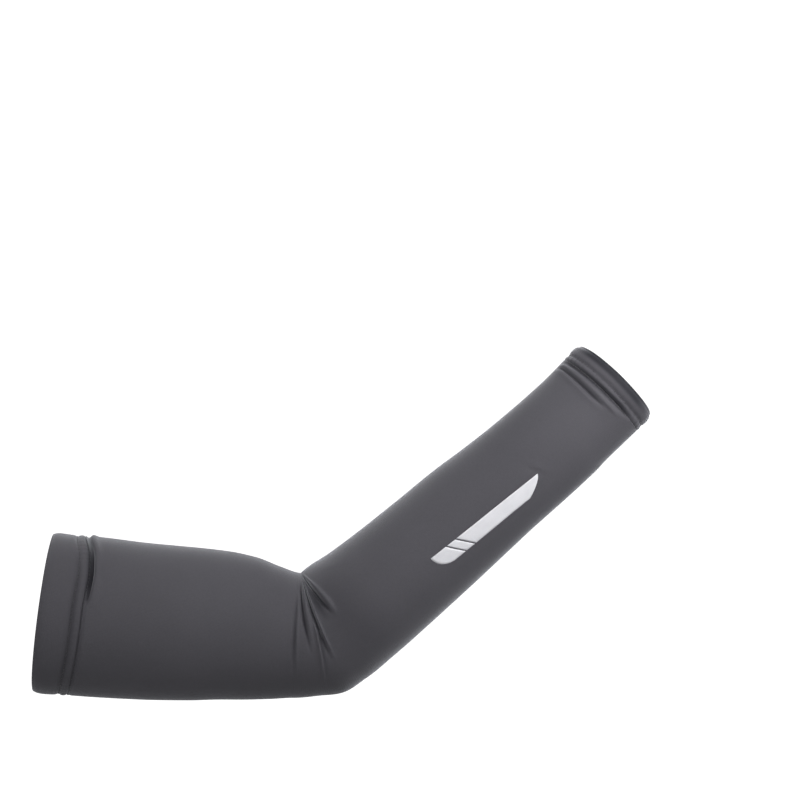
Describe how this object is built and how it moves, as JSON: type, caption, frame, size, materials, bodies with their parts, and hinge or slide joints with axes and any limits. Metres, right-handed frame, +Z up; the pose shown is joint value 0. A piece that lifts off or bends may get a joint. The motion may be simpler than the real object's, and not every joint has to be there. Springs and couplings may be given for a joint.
{
  "type": "arm sleeve",
  "caption": "Stretch-knit arm sleeve in the form it takes on a bent arm: a hollow tube from upper arm to wrist, with a turned hem at each end and a reflective print on the forearm.",
  "frame": {"origin": "the middle of the upper arm's opening, at its rim", "axes": "+X runs along the arm from the upper arm's opening towards the wrist, +Z is up, towards which the forearm rises, and the printed side faces -Y"},
  "size_m": [0.3669, 0.0887, 0.2104],
  "materials": {
    "knit": "smooth fine stretch knit with a faint sheen",
    "hem_knit": "the same knit, doubled and cover-stitched",
    "overlock": "overlocked cut edges under matt thread",
    "reflective_print": "light grey satin transfer film"
  },
  "bodies": {
    "root": {"sleeve_tube": "knit", "upper_hem": "hem_knit", "wrist_hem": "hem_knit", "seam_allowance": "overlock", "print_tail": "reflective_print", "print_bar": "reflective_print", "print_strip": "reflective_print"}
  },
  "joints": []
}
